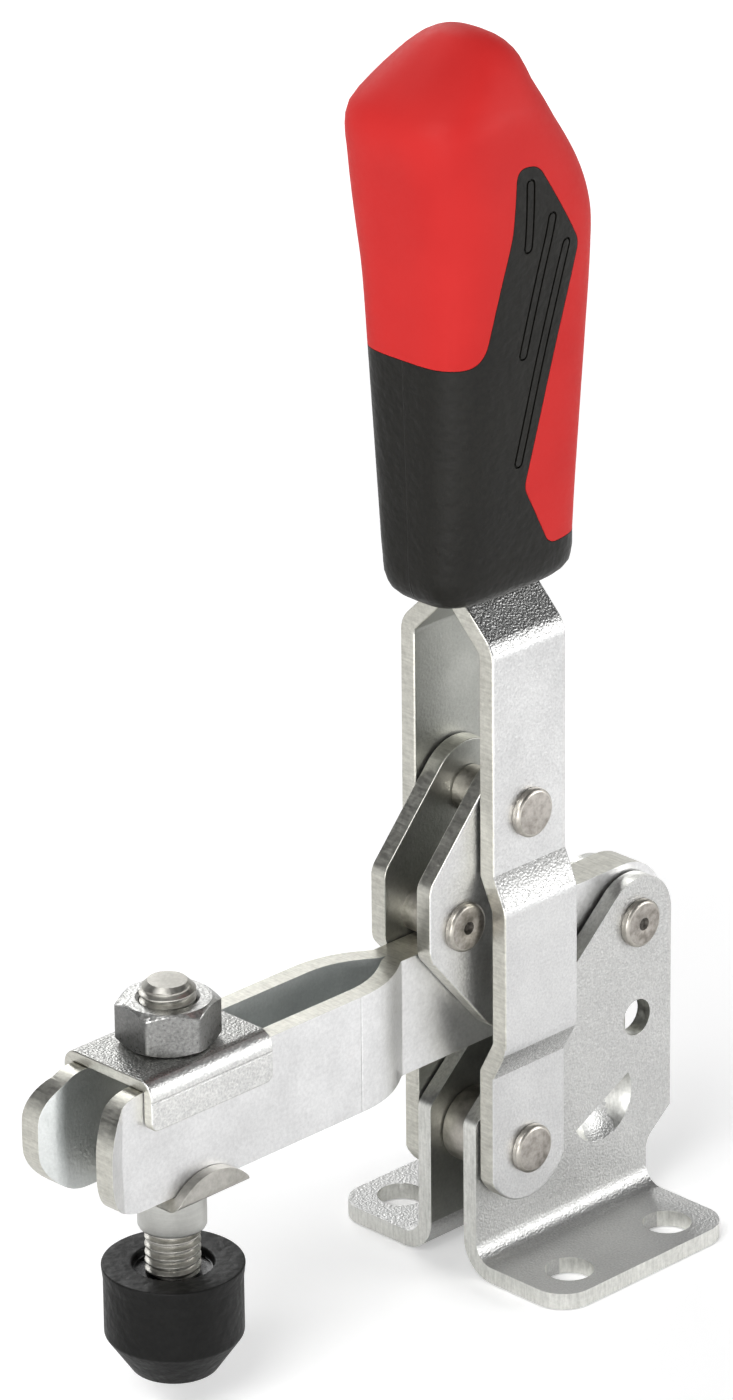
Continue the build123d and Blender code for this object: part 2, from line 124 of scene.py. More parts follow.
lamp("key", (-1.05, -0.25, 1.05), (0.9, 0.9), 13.5)
lamp("right", (0.95, -1.05, 0.42), (0.8, 0.7), 8.6)
lamp("rear", (0.5, 1.3, 0.9), (0.9, 0.6), 9.0)
lamp("front", (-1.1, -1.0, 0.16), (0.22, 0.30), 4.0)


# ---------------------------------------------------------------- node helpers
class Tree:
    """A thin helper to lay out a material's or the world's nodes."""

    def __init__(self, tree):
        self.tree = tree
        self.tree.nodes.clear()

    def add(self, kind, **settings):
        node = self.tree.nodes.new(kind)
        for key, value in settings.items():
            setattr(node, key, value)
        return node

    def link(self, source, target):
        self.tree.links.new(source, target)

    def coords(self):
        return self.add("ShaderNodeTexCoord").outputs["Object"]

    def split(self, vector):
        """The X, Y and Z sockets of a vector."""
        node = self.add("ShaderNodeSeparateXYZ")
        self.link(vector, node.inputs[0])
        return node.outputs

    def noise(self, vector, scale, detail, rough):
        node = self.add("ShaderNodeTexNoise")
        for key, number in (("Scale", scale), ("Detail", detail), ("Roughness", rough)):
            node.inputs[key].default_value = number
        self.link(vector, node.inputs["Vector"])
        return node.outputs["Fac"]

    def stretch(self, vector, scale):
        node = self.add("ShaderNodeMapping")
        node.inputs["Scale"].default_value = scale
        self.link(vector, node.inputs["Vector"])
        return node.outputs["Vector"]

    def ramp(self, factor, stops):
        node = self.add("ShaderNodeValToRGB")
        elements = node.color_ramp.elements
        while len(elements) > 1:
            elements.remove(elements[-1])
        for index, (place, colour) in enumerate(stops):
            element = elements[0] if index == 0 else elements.new(place)
            element.position = place
            element.color = (*colour, 1)
        self.link(factor, node.inputs["Fac"])
        return node.outputs["Color"]

    def remap(self, value, low_in, high_in, low_out, high_out):
        """A straight ramp from one range of numbers to another, held at both ends."""
        node = self.add("ShaderNodeMapRange")
        numbers = (low_in, high_in, low_out, high_out)
        for key, number in zip(("From Min", "From Max", "To Min", "To Max"), numbers):
            node.inputs[key].default_value = number
        self.link(value, node.inputs["Value"])
        return node.outputs["Result"]

    def put(self, value, socket):
        """Links a socket, or sets a number or a colour on it."""
        if isinstance(value, (int, float)):
            socket.default_value = value
        elif isinstance(value, tuple):
            socket.default_value = (*value, 1)
        else:
            self.link(value, socket)

    def math(self, operation, first, second=None):
        node = self.add("ShaderNodeMath", operation=operation)
        self.put(first, node.inputs[0])
        if second is not None:
            self.put(second, node.inputs[1])
        return node.outputs[0]

    def shared(self, first, second, share):
        """A weighted mean of two values, with this share of the first."""
        return self.math("ADD", self.math("MULTIPLY", first, share), self.math("MULTIPLY", second, 1.0 - share))

    def apart(self, value, spot):
        """How far a value is from a spot, either way."""
        return self.math("ABSOLUTE", self.math("SUBTRACT", value, spot))

    def mix(self, factor, first, second):
        node = self.add("ShaderNodeMix", data_type="RGBA")
        for index, value in ((0, factor), (6, first), (7, second)):
            self.put(value, node.inputs[index])
        return node.outputs[2]

    def bump(self, height, strength, distance, normal=None):
        node = self.add("ShaderNodeBump")
        node.inputs["Strength"].default_value = strength
        node.inputs["Distance"].default_value = distance
        self.link(height, node.inputs["Height"])
        if normal is not None:
            self.link(normal, node.inputs["Normal"])
        return node.outputs["Normal"]


# ---------------------------------------------------------------- world
# The dome is pale low down and dark high up, so flat plates and upright ones get tones of their
# own. Its bands go up towards +X+Y and come down to either side of that line.
DOME_TILT, DOME_SPREAD = -0.085, 0.12
DOME_BANDS = [
    (0.00, (0.85, 0.85, 0.85)),
    (0.50, (0.92, 0.92, 0.92)),
    (0.62, (0.80, 0.80, 0.80)),
    (0.70, (0.52, 0.525, 0.53)),
    (0.745, (0.20, 0.205, 0.21)),
    (0.79, (0.02, 0.021, 0.023)),
    (0.94, (0.02, 0.021, 0.023)),
    (1.00, (0.40, 0.40, 0.40)),
]

world = bpy.data.worlds.new("studio")
bpy.context.scene.world = world
world.use_nodes = True
sky = Tree(world.node_tree)
toward = sky.split(sky.add("ShaderNodeTexCoord").outputs["Generated"])
behind = sky.math("MAXIMUM", sky.math("ADD", toward["X"], toward["Y"]), 0.0)
across = sky.apart(toward["X"], toward["Y"])
shift = sky.math("ADD", sky.math("MULTIPLY", behind, DOME_TILT), sky.math("MULTIPLY", across, DOME_SPREAD))
dome = sky.ramp(sky.remap(sky.math("ADD", toward["Z"], shift), -1.0, 1.0, 0.0, 1.0), DOME_BANDS)
seen_direct = sky.add("ShaderNodeLightPath").outputs["Is Camera Ray"]
background = sky.add("ShaderNodeBackground")
background.inputs["Strength"].default_value = 1.0
sky.link(sky.mix(seen_direct, dome, (1.0, 1.0, 1.0)), background.inputs["Color"])
sky.link(background.outputs[0], sky.add("ShaderNodeOutputWorld").inputs[0])


def new_material(name):
    material = bpy.data.materials.new(name)
    material.use_nodes = True
    tree = Tree(material.node_tree)
    shader = tree.add("ShaderNodeBsdfPrincipled")
    tree.link(shader.outputs[0], tree.add("ShaderNodeOutputMaterial").inputs[0])
    return material, tree, shader


# ---------------------------------------------------------------- floor
FLOOR_SIZE, FLOOR_DROP = 12, 0.0002


def floor_material():
    """A pale floor that shows as white where the lamps reach it, and keeps its shadows.

    It also glows, and by place. In the object's reflections near is a bright patch on the photo's
    side, which fades out between 0.5 and 0.8 m from the middle, and side grows from the left to
    the right of it. To the camera pale grows with distance, so that no edge or horizon shows.
    """
    material, tree, shader = new_material("pale_floor")
    shader.inputs["Roughness"].default_value = 0.9
    shader.inputs["Specular IOR Level"].default_value = 0.0
    rays = tree.add("ShaderNodeLightPath").outputs
    seen = tree.math("MAXIMUM", rays["Is Camera Ray"], rays["Is Glossy Ray"])
    spot = tree.split(tree.coords())
    x, y = spot["X"], spot["Y"]
    away = tree.math("SQRT", tree.math("ADD", tree.math("MULTIPLY", x, x), tree.math("MULTIPLY", y, y)))
    near = tree.remap(tree.math("ADD", x, y), -0.50, -0.15, 2.2, 0.0)
    near = tree.math("MULTIPLY", near, tree.remap(away, 0.50, 0.80, 1.0, 0.0))
    side = tree.remap(tree.math("SUBTRACT", x, y), -0.15, 0.20, 0.02, 0.18)
    glow = tree.math("MULTIPLY", rays["Is Glossy Ray"], tree.math("ADD", near, side))
    pale = tree.math("MULTIPLY", rays["Is Camera Ray"], tree.remap(away, 0.35, 0.95, 0.28, 1.0))
    tree.link(tree.mix(seen, (0.90, 0.90, 0.90), (0.96, 0.96, 0.96)), shader.inputs["Base Color"])
    shader.inputs["Emission Color"].default_value = (1, 1, 1, 1)
    tree.link(tree.math("ADD", glow, pale), shader.inputs["Emission Strength"])
    return material


bpy.ops.mesh.primitive_plane_add(size=FLOOR_SIZE, location=(0, 0, cad_bounds[0][2] - FLOOR_DROP))
floor_plane = bpy.context.object
floor_plane.name = "floor"
floor_plane.data.materials.append(floor_material())


# ---------------------------------------------------------------- metals
def steel(name, dark, light, rough, speckle, grain=1700.0, bump=0.25, streak=None, crystal=0.0, crease=None):
    """Satin steel: a fine mottled speckle over soft clouding, with roughness and bump from it.

    speckle is the fine grain's share of the tone, and a streak scale draws part of it out into
    lines. A crystal share adds flat facets that tilt at random, as on galvanised small parts.
    A crease is a fine pressed line: its axis, its place and its half width.
    """
    material, tree, shader = new_material(name)
    place = tree.coords()
    fine = tree.noise(place, grain, 3.0, 0.65)
    if streak is not None:
        fine = tree.shared(fine, tree.noise(tree.stretch(place, streak), 1.0, 3.0, 0.6), 0.45)
    cloud = tree.noise(place, 130.0, 3.0, 0.55)
    tone = tree.shared(fine, cloud, speckle)
    tree.link(tree.ramp(tone, [(0.36, dark), (0.64, light)]), shader.inputs["Base Color"])
    tree.link(tree.remap(fine, 0.3, 0.7, rough - 0.06, rough + 0.08), shader.inputs["Roughness"])
    shader.inputs["Metallic"].default_value = 1.0
    relief = tree.bump(fine, bump, 0.00006)
    if crystal > 0:
        relief = tree.bump(tree.noise(place, grain * 0.95, 1.0, 0.4), crystal, 0.42 / grain, relief)
    if crease is not None:
        axis, spot, width = crease
        away = tree.apart(tree.split(place)[axis], spot * MM)
        relief = tree.bump(tree.remap(away, width * 0.4 * MM, width * MM, 0.0, 1.0), 1.0, 0.0001, relief)
    tree.link(relief, shader.inputs["Normal"])
    return material


ARM_CREASE = ("X", PIVOT_X - 31.8, 0.16)
CLIP_CREASE = ("Z", 52.3, 0.22)

arm_zinc = steel("arm_zinc", (0.70, 0.70, 0.70), (0.86, 0.86, 0.86), 0.38, 0.55, crease=ARM_CREASE)
zinc = steel("zinc_sheet", (0.60, 0.60, 0.60), (0.76, 0.76, 0.755), 0.38, 0.65, grain=2600.0, crystal=0.30)
zinc_dull = steel("zinc_dull", (0.48, 0.48, 0.475), (0.65, 0.65, 0.636), 0.44, 0.8, grain=3200.0, crystal=0.7)
# Painted shade: darker copies of the plates' zinc for their inner faces, where the plates face each other; this
# line and the next.
inner_zinc_painted_shade = steel("inner_zinc_painted_shade", (0.33, 0.335, 0.31), (0.46, 0.465, 0.435), 0.42, 0.5, grain=2200.0, crystal=0.15)
arm_inner_painted_shade = steel("arm_inner_painted_shade", (0.58, 0.60, 0.59), (0.72, 0.74, 0.73), 0.44, 0.5, grain=2200.0, crystal=0.15)
# Painted shade: a darker copy of the zinc for faces of the upright plates that tilt up or down, at bends and
# slopes; its crystal speckle is the zinc's own.
tilted_zinc_painted_shade = steel("tilted_zinc_painted_shade", (0.30, 0.30, 0.295), (0.62, 0.62, 0.61), 0.34, 0.9, grain=3300.0, crystal=0.85)
# Painted shade: a darker copy of the clip's zinc for its flat crown.
clip_top_painted_shade = steel("clip_top_painted_shade", (0.30, 0.30, 0.29), (0.60, 0.60, 0.58), 0.38, 0.9, grain=3300.0, crystal=0.85)
base_edge = steel(
    "base_edge", (0.60, 0.60, 0.565), (0.92, 0.92, 0.88), 0.34, 0.75, grain=1500.0, bump=0.4,
    streak=(2600.0, 2600.0, 300.0),
)
sheared = steel(
    "sheared_edge", (0.50, 0.49, 0.44), (0.78, 0.77, 0.70), 0.34, 0.75, grain=1500.0, bump=0.4,
    streak=(2600.0, 300.0, 2600.0),
)
clip_zinc = steel(
    "clip_zinc", (0.58, 0.58, 0.575), (0.82, 0.82, 0.80), 0.42, 0.8, grain=2800.0, crystal=0.38,
    crease=CLIP_CREASE,
)
fitting = steel(
    "zinc_fitting", (0.125, 0.125, 0.122), (0.27, 0.27, 0.262), 0.32, 0.6, grain=2400.0, bump=0.3, crystal=0.12
)
# Lighter zinc for the nut: real wear on its rims, and a painted highlight on its top faces, upper chamfer and
# upper bore chamfer.
nut_wear_and_highlight = steel("nut_wear_and_highlight", (0.37, 0.37, 0.36), (0.68, 0.68, 0.66), 0.34, 0.8, grain=2400.0, crystal=0.3)
# A very dark colour inside the pins' dimples.
dimple_dark = steel("dimple_dark_inside", (0.05, 0.045, 0.04), (0.16, 0.15, 0.135), 0.5, 0.6, grain=1800.0)
rivet = steel("rivet_steel", (0.24, 0.22, 0.195), (0.52, 0.49, 0.455), 0.42, 0.60, grain=900.0)
rivet_rim = steel("rivet_rim", (0.36, 0.34, 0.30), (0.60, 0.57, 0.52), 0.34, 0.5, grain=1100.0)
saddle_steel = steel("saddle_steel", (0.34, 0.33, 0.30), (0.54, 0.525, 0.49), 0.40, 0.5, grain=1200.0)
sleeve_steel = steel(
    "sleeve_steel", (0.50, 0.50, 0.475), (0.66, 0.66, 0.63), 0.36, 0.5, bump=0.15, streak=(90.0, 90.0, 5200.0)
)
thread_steel = steel("thread_steel", (0.36, 0.35, 0.32), (0.60, 0.59, 0.55), 0.36, 0.4, grain=1400.0, bump=0.12)


# ---------------------------------------------------------------- plastics
def plastic(name, colour, deep, rough, grain, bump, speck=0.0, shine=0.5, seam=None):
    """Moulded plastic or rubber: slight clouding, a fine moulded grain and a leathery one over it.

    A seam is the place on Y of a raised parting line.
    """
    material, tree, shader = new_material(name)
    place = tree.coords()
    fine = tree.noise(place, grain, 2.0, 0.6)
    tone = tree.shared(fine, tree.noise(place, 60.0, 3.0, 0.5), speck)
    tree.link(tree.ramp(tone, [(0.35, deep), (0.65, colour)]), shader.inputs["Base Color"])
    tree.link(tree.remap(fine, 0.3, 0.7, rough - 0.05, rough + 0.06), shader.inputs["Roughness"])
    shader.inputs["Specular IOR Level"].default_value = shine
    leather = tree.noise(place, grain * 0.42, 1.0, 0.5)
    relief = tree.bump(leather, bump, 0.00016, tree.bump(fine, bump * 0.6, 0.00008))
    if seam is not None:
        away = tree.apart(tree.split(place)["Y"], seam * MM)
        relief = tree.bump(tree.remap(away, 0.05 * MM, 0.16 * MM, 1.0, 0.0), 0.7, 0.0001, relief)
    tree.link(relief, shader.inputs["Normal"])
    return material


red_plastic = plastic("grip_red", (0.62, 0.028, 0.026), (0.57, 0.023, 0.022), 0.52, 1500.0, 0.06, shine=0.13)
black_plastic = plastic(
    "grip_black", (0.0115, 0.0108, 0.0085), (0.006, 0.0056, 0.0045), 0.38, 1500.0, 0.9, 0.6, shine=0.19, seam=-0.2
)
foot_rubber = plastic(
    "foot_rubber", (0.0085, 0.0085, 0.008), (0.004, 0.004, 0.0038), 0.46, 1400.0, 1.1, 0.7, shine=0.20
)
# Painted shade: a darker colour for the foot's top recess; its lower roughness is the rubber's own.
recess_rubber_painted_shade = plastic("foot_recess", (0.003, 0.003, 0.003), (0.0015, 0.0015, 0.0015), 0.26, 900.0, 0.5, shine=0.28)


# ---------------------------------------------------------------- mesh helpers
def stand_for(piece, node):
    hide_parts(node)
    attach(piece, NODE_BODY[node])


def smooth(mesh):
    for polygon in mesh.polygons:
        polygon.use_smooth = True


def finish_mesh(piece, angle):
    """Smooth faces, with the edges that turn by more than an angle kept sharp."""
    smooth(piece.data)
    piece.data.set_sharp_from_angle(angle=radians(angle))


def apply_modifiers(piece):
    graph = bpy.context.evaluated_depsgraph_get()
    mesh = bpy.data.meshes.new_from_object(piece.evaluated_get(graph))
    piece.modifiers.clear()
    old = piece.data
    piece.data = mesh
    bpy.data.meshes.remove(old)


def object_of(name, mesh, *materials):
    piece = bpy.data.objects.new(name, mesh)
    bpy.context.collection.objects.link(piece)
    for material in materials:
        mesh.materials.append(material)
    return piece


def new_piece(name, vertices, faces, *materials):
    mesh = bpy.data.meshes.new(name)
    mesh.from_pydata(vertices, [], faces)
    return object_of(name, mesh, *materials)


def put_right(mesh, weld=None, close=False):
    """Turns a mesh's faces outwards, after a weld and the filling of open rims if asked for.

    weld is two distances: between the spots that are joined, and of the slivers that go.
    """
    shape = bmesh.new()
    shape.from_mesh(mesh)
    if weld is not None:
        bmesh.ops.remove_doubles(shape, verts=shape.verts, dist=weld[0])
        bmesh.ops.dissolve_degenerate(shape, edges=shape.edges, dist=weld[1])
    if close:
        loose = [vertex for vertex in shape.verts if not vertex.link_faces]
        bmesh.ops.delete(shape, geom=loose, context="VERTS")
        bmesh.ops.holes_fill(shape, edges=[edge for edge in shape.edges if edge.is_boundary], sides=0)
    bmesh.ops.recalc_face_normals(shape, faces=shape.faces)
    shape.to_mesh(mesh)
    shape.free()


def bevelled(node, width, *materials, pick=None, warp=None):
    """A copy of a CAD node's mesh with its facets merged and its sharp edges rounded.

    pick gives each face its material's index, from its normal and its centre.
    """
    mesh = NODES[node].data.copy()
    mesh.name = node + "_looks"
    mesh.materials.clear()
    shape = bmesh.new()
    shape.from_mesh(mesh)
    bmesh.ops.remove_doubles(shape, verts=shape.verts, dist=2e-6)
    bmesh.ops.dissolve_limit(shape, angle_limit=radians(0.6), verts=shape.verts, edges=shape.edges)
    bmesh.ops.recalc_face_normals(shape, faces=shape.faces)
    if warp is not None:
        warp(shape)
    if pick is not None:
        for face in shape.faces:
            face.material_index = pick(face.normal, face.calc_center_median())
    shape.to_mesh(mesh)
    shape.free()
    for key in list(mesh.attributes.keys()):
        if key in ("custom_normal", "sharp_edge", "sharp_face"):
            mesh.attributes.remove(mesh.attributes[key])
    piece = object_of(node + ".dressed", mesh, *materials)
    smooth(mesh)
    bevel = piece.modifiers.new("edges", "BEVEL")
    bevel.width = width
    bevel.segments = 3
    bevel.limit_method = "ANGLE"
    bevel.angle_limit = radians(38.0)
    bevel.harden_normals = False
    bevel.use_clamp_overlap = True
    weighted = piece.modifiers.new("normals", "WEIGHTED_NORMAL")
    weighted.mode = "FACE_AREA"
    weighted.weight = 100
    weighted.keep_sharp = False
    apply_modifiers(piece)
    stand_for(piece, node)


def spun(node, centre, profile, steps, *materials, axis="Z", material_of=None, angle=32.0, name=None):
    """A solid of revolution that stands for a node.

    profile is (radius, height) points from axis to axis, or a function that gives them for a
    turn. material_of gives the index of the material between a point and the next.
    """
    vertices, faces, kinds = [], [], []
    turns = [2 * pi * step / steps for step in range(steps)]
    rows = [profile(turn) if callable(profile) else profile for turn in turns]
    count = len(rows[0])
    for turn, row in zip(turns, rows):
        for radius, height in row:
            x, y = radius * cos(turn), radius * sin(turn)
            spot = (x, y, height) if axis == "Z" else (x, height, y)
            vertices.append(tuple(c + s * MM for c, s in zip(centre, spot)))
    for step in range(steps):
        after = (step + 1) % steps
        for k in range(count - 1):
            faces.append((step * count + k, after * count + k, after * count + k + 1, step * count + k + 1))
            kinds.append(material_of(k) if material_of else 0)
    piece = new_piece(name or node + ".dressed", vertices, faces, *materials)
    for polygon, kind in zip(piece.data.polygons, kinds):
        polygon.material_index = kind
    put_right(piece.data, weld=(1e-7, 1e-8))
    finish_mesh(piece, angle)
    stand_for(piece, node)


def mirrored(half):
    """The other half of a spun outline, below the height 0, in the order that goes before it."""
    return [(radius, -height) for radius, height in reversed(half)]


def rounded(points, radius, steps):
    """A polyline whose inner corners are rounded: points are (x, y) or (x, y, own radius)."""
    out = [points[0][:2]]
    for index in range(1, len(points) - 1):
        before, here, after = points[index - 1], points[index], points[index + 1]
        own = here[2] if len(here) > 2 else radius
        corner = Vector(here[:2])
        a = Vector(before[:2]) - corner
        b = Vector(after[:2]) - corner
        turn = a.angle(b)
        if own <= 0 or turn > pi - 0.01:
            out.append(tuple(here[:2]))
            continue
        reach = min(own / tan(turn / 2), a.length * 0.49, b.length * 0.49)
        start, end = corner + a.normalized() * reach, corner + b.normalized() * reach
        for step in range(steps + 1):
            t = step / steps
            spot = start * (1 - t) ** 2 + corner * 2 * t * (1 - t) + end * t * t
            out.append((spot.x, spot.y))
    out.append(points[-1][:2])
    return out


# ---------------------------------------------------------------- sheet plates
ARM_TIP, ARM_MIDDLE, ARM_HALF_HEIGHT = PIVOT_X - 81.2, 44.5, 9.0
TIP_RADIUS, TIP_RADIUS_WIDE, TIP_BULGE = 5.5, 6.8, 0.7


def sheet_or_edge(normal, centre):
    """Outer face, sheared edge, inner face with painted shade, or bend or slope with painted shade, of an upright
    plate.
    """
    if abs(normal.y) <= 0.5:
        return 1
    if normal.y * centre.y < 0:
        return 2
    return 3 if abs(normal.z) > 0.3 else 0


def bracket_face(normal, centre):
    """Outer faces, sheared edges, and inner faces with painted shade, of a plate that turns from upright to flat.
    """
    if abs(normal.x) > 0.35:
        return 1
    flange_end = centre.z < 0.0026 and abs(centre.y) > 0.0150
    if flange_end and abs(normal.y) > 0.35:
        return 1
    top_edge = normal.z > 0.3 and centre.z > 0.012 and abs(normal.y) < 0.3
    if top_edge:
        return 1
    return 2 if normal.y * centre.y < -1e-5 and centre.z > 0.006 else 0


def clip_face(normal, centre):
    """Sides, cut edges, or the crown of the clip, which is darker as painted shade."""
    if abs(normal.x) > 0.5 or normal.z < -0.5:
        return 1
    return 2 if normal.z > 0.9 else 0


def corner_height(reach, radius):
    """Half height of the arm at a distance from its tip, when its corners have this radius."""
    return ARM_HALF_HEIGHT - radius + sqrt(max(radius**2 - max(radius - reach, 0.0) ** 2, 0.0))


def rounder_tip(shape):
    """Draws the corners of the arm's tip in to a wider radius and lets its end bulge a little."""
    cuts = [((ARM_TIP + reach, 0, 0), (1, 0, 0)) for reach in (TIP_RADIUS_WIDE, 6.2)]
    cuts += [((0, 0, ARM_MIDDLE + level), (0, 0, 1)) for level in (-2.2, 0.0, 2.2)]
    for spot, normal in cuts:
        bmesh.ops.bisect_plane(
            shape, geom=[*shape.verts, *shape.edges, *shape.faces], dist=1e-6,
            plane_co=tuple(value * MM for value in spot), plane_no=normal,
        )
    for vertex in shape.verts:
        reach = vertex.co.x / MM - ARM_TIP
        if reach >= TIP_RADIUS_WIDE:
            continue
        narrowed = corner_height(reach, TIP_RADIUS_WIDE)
        rise = (vertex.co.z / MM - ARM_MIDDLE) * narrowed / corner_height(reach, TIP_RADIUS)
        vertex.co.z = (ARM_MIDDLE + rise) * MM
        vertex.co.x -= TIP_BULGE * (1 - (rise / ARM_HALF_HEIGHT) ** 2) * (1 - reach / TIP_RADIUS_WIDE) * MM


for side in ("near", "far"):
    bevelled(f"handle_plate_{side}", 0.00035, zinc, sheared, inner_zinc_painted_shade, tilted_zinc_painted_shade, pick=sheet_or_edge)
    bevelled(f"link_plate_{side}", 0.00030, zinc, sheared, inner_zinc_painted_shade, pick=sheet_or_edge)
    bevelled(f"arm_plate_{side}", 0.00035, arm_zinc, sheared, arm_inner_painted_shade, pick=sheet_or_edge, warp=rounder_tip)
    bevelled(f"base_bracket_{side}", 0.00030, zinc_dull, base_edge, inner_zinc_painted_shade, pick=bracket_face)


# ---------------------------------------------------------------- pins
HANDLE_PIVOT = at(0, 19.3)
ARM_PIVOT = at(26.1, 45.3)
ARM_LINK = at(0, 45.3)
LINK_TOP = at(0, 72.4)
STOP = at(-10.3, 56.9)
PIN_STEPS = 72
PIN_RADIUS, COLLAR_RADIUS, HEAD_RADIUS, HEAD_HEIGHT = 3.0, 3.3, 3.65, 1.2


def pin_profile(steps, end, head_height, dimple):
    """Half outline of a pin, from the middle of the clamp out to the middle of its head."""
    top = end + head_height
    outline = [
        *steps,
        (HEAD_RADIUS - 0.12, end),
        (HEAD_RADIUS, end + 0.12),
        (HEAD_RADIUS, top - 0.42),
        (HEAD_RADIUS - 0.06, top - 0.28),
        (HEAD_RADIUS - 0.40, top - 0.03),
        (HEAD_RADIUS - 0.52, top),
    ]
    if dimple:
        return outline + [(0.98, top), (0.86, top - 0.07), (0.50, top - 0.38), (0.0, top - 0.42)]
    return outline + [(1.6, top + 0.02), (0.0, top + 0.02)]


def pin(node, centre, steps, end, head_height=HEAD_HEIGHT, dimple=False):
    """A riveted pin with two heads; its dimples, if it has them, are dark inside."""
    half = pin_profile(steps, end, head_height, dimple)
    full = mirrored(half) + half[1:]

    def kind(index):
        middle = (full[index][0] + full[index + 1][0]) / 2
        if dimple and middle < 0.95 and max(abs(full[index][1]), abs(full[index + 1][1])) > end:
            return 2
        return 1 if middle > HEAD_RADIUS - 0.6 else 0

    spun(node, centre, full, PIN_STEPS, rivet, rivet_rim, dimple_dark, axis="Y", material_of=kind)


def shank(end):
    return [(PIN_RADIUS, 0), (PIN_RADIUS, end)]


collared = [(COLLAR_RADIUS, 0), (COLLAR_RADIUS, 3.1), (PIN_RADIUS, 3.1), (PIN_RADIUS, 5.9)]
pin("handle_pivot_pin", HANDLE_PIVOT, shank(9.0), 9.0)
pin("arm_pivot_pin", ARM_PIVOT, shank(5.8), 5.8, dimple=True)
pin("arm_link_pin", ARM_LINK, shank(5.9), 5.9, head_height=0.9, dimple=True)
pin("stop_pin", STOP, collared, 5.9, dimple=True)

spacer_half = [(3.0, 3.3), (5.15, 3.3), (5.45, 3.2), (5.62, 3.0), (5.65, 2.7)]
spacer = [*spacer_half, *mirrored(spacer_half), spacer_half[0]]
spun("handle_pivot_spacer", HANDLE_PIVOT, spacer, PIN_STEPS, rivet_rim, axis="Y")

bush_half = [(0, 5.9), (2.9, 5.9), (3.0, 5.8), (3.0, 3.1), (3.3, 3.1), (3.5, 2.9)]
spun("link_top_pin", LINK_TOP, [*bush_half, *mirrored(bush_half)], PIN_STEPS, rivet_rim, axis="Y")

pin_end = [(0, 5.95), (2.9, 5.95), (3.0, 6.05)] + pin_profile([(3.0, 9.15)], 9.15, HEAD_HEIGHT, False)
for side, sign in (("far", 1), ("near", -1)):
    spun(
        "handle_link_pin", LINK_TOP, [(radius, sign * height) for radius, height in pin_end], PIN_STEPS,
        rivet, rivet_rim, axis="Y", material_of=lambda index: 1 if 2 < index < 9 else 0,
        name=f"handle_link_pin_{side}.dressed",
    )


# ---------------------------------------------------------------- clip, saddle and sleeve
SPINDLE = at(-62.4, 0)

bevelled("saddle_clip", 0.00030, clip_zinc, sheared, clip_top_painted_shade, pick=clip_face)
bevelled("lower_saddle", 0.00030, saddle_steel)
sleeve = [
    (4.1, 26.85), (4.25, 26.7), (4.5, 26.7), (4.75, 26.8), (4.9, 27.1), (4.9, 33.7), (4.1, 33.7), (4.1, 26.85)
]
spun("threaded_sleeve", SPINDLE, sleeve, 96, sleeve_steel)


# ---------------------------------------------------------------- screw with a real thread
PITCH = 1.25
THREAD_RADIUS, CREST_RADIUS, THREAD_DEPTH = 4.0, 3.98, 0.66
SCREW_LOW, SCREW_HIGH, SCREW_CHAMFER = 15.2, 64.4, 1.2
THREAD_STEPS, ROWS_PER_PITCH = 64, 12


def thread_radius(phase):
    """Radius over one pitch of an M8 thread, with rounded crest and root."""
    distance = abs(phase - 0.5) * 2
    flank = min(max((distance - 0.14) / 0.66, 0), 1)
    eased = flank * flank * (3 - 2 * flank) * 0.35 + flank * 0.65
    return CREST_RADIUS - THREAD_DEPTH * eased


def threaded_stud(node):
    """A stud whose rows of vertices climb by one pitch in a turn."""
    rise = PITCH / ROWS_PER_PITCH
    rows = int((SCREW_HIGH - SCREW_LOW) / rise) + ROWS_PER_PITCH + 2
    vertices, faces = [], []
    for step in range(THREAD_STEPS):
        turn = 2 * pi * step / THREAD_STEPS
        for row in range(rows):
            height = SCREW_LOW - PITCH + row * rise + PITCH * step / THREAD_STEPS
            height = min(max(height, SCREW_LOW), SCREW_HIGH)
            radius = thread_radius((row / ROWS_PER_PITCH) % 1.0)
            radius = min(radius, THREAD_RADIUS - SCREW_CHAMFER + (SCREW_HIGH - height))
            vertices.append((SPINDLE[0] + radius * cos(turn) * MM, radius * sin(turn) * MM, height * MM))
    for step in range(THREAD_STEPS):
        wrap = step == THREAD_STEPS - 1
        after = 0 if wrap else step + 1
        lift = ROWS_PER_PITCH if wrap else 0
        here, there = step * rows, after * rows + lift
        for row in range(rows - 1 - lift):
            faces.append((here + row, there + row, there + row + 1, here + row + 1))
    piece = new_piece(node + ".dressed", vertices, faces, thread_steel)
    put_right(piece.data, weld=(1e-6, 1e-6), close=True)
    finish_mesh(piece, 30)
    stand_for(piece, node)


threaded_stud("clamping_screw")


# ---------------------------------------------------------------- lock nut
NUT_FLAT, NUT_CORNER, NUT_LOW, NUT_HIGH, NUT_BORE, NUT_FACE = 6.5, 7.42, 55.35, 61.85, 4.08, 6.15
NUT_TURN, NUT_CHAMFER = 22.5, 30.0


def nut_profile(turn):
    """The nut's outline at a turn: its chamfers cut deepest at the six corners."""
    sector = (turn - radians(NUT_TURN)) % (pi / 3)
    reach = min(NUT_FLAT / cos(sector - pi / 6), NUT_CORNER)
    drop = max(0.0, (reach - NUT_FACE)) * tan(radians(NUT_CHAMFER))
    rim = 0.10
    return [
        (NUT_BORE, NUT_LOW + 0.35),
        (NUT_BORE + 0.35, NUT_LOW),
        (NUT_FACE, NUT_LOW),
        (reach - rim, NUT_LOW + drop - rim * 0.45),
        (reach, NUT_LOW + drop + rim),
        (reach, NUT_HIGH - drop - rim),
        (reach - rim, NUT_HIGH - drop + rim * 0.45),
        (NUT_FACE, NUT_HIGH),
        (NUT_BORE + 0.45, NUT_HIGH),
        (NUT_BORE, NUT_HIGH - 0.45),
        (NUT_BORE, NUT_LOW + 0.35),
    ]


